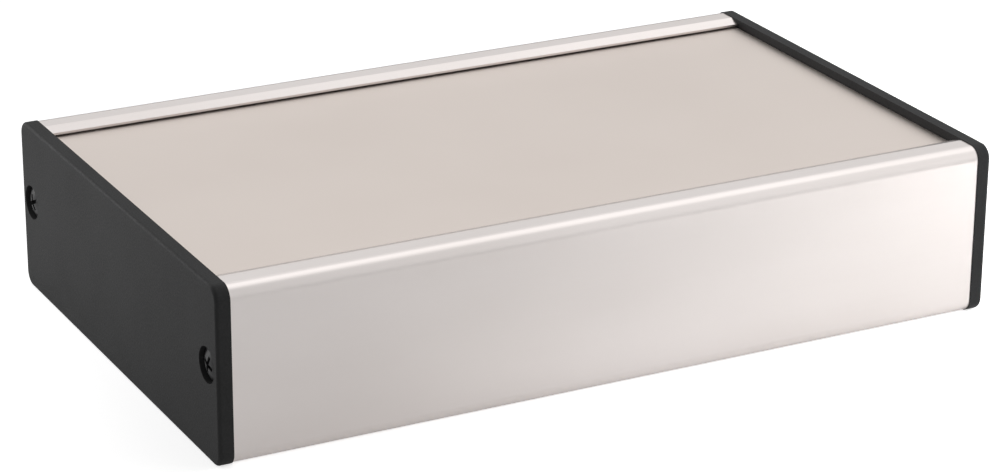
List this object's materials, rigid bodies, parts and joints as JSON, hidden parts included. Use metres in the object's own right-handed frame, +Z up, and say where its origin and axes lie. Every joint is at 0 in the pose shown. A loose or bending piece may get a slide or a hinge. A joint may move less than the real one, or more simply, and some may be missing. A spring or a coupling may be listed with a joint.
{
  "type": "extruded aluminium enclosure",
  "caption": "Low instrument case with extruded aluminium side profiles, sliding top and bottom panels and black moulded end caps with recessed screws.",
  "frame": {"origin": "centre of the case on plan, on the surface that it stands on", "axes": "+X along the extrusions towards the right end cap, +Y towards the rear, +Z up"},
  "size_m": [0.188, 0.114, 0.04],
  "materials": {
    "profile_aluminium": "satin clear anodised extrusion with faint lengthwise die lines",
    "panel_aluminium": "satin clear anodised sheet",
    "cap_plastic": "black moulded plastic with a fine spark grain",
    "screw_steel": "black zinc-plated steel"
  },
  "bodies": {
    "root": {"front_profile": "profile_aluminium", "rear_profile": "profile_aluminium", "top_panel": "panel_aluminium", "bottom_panel": "panel_aluminium", "left_end_cap": "cap_plastic", "right_end_cap": "cap_plastic", "left_front_screw": "screw_steel", "left_rear_screw": "screw_steel", "right_front_screw": "screw_steel", "right_rear_screw": "screw_steel"}
  },
  "joints": []
}
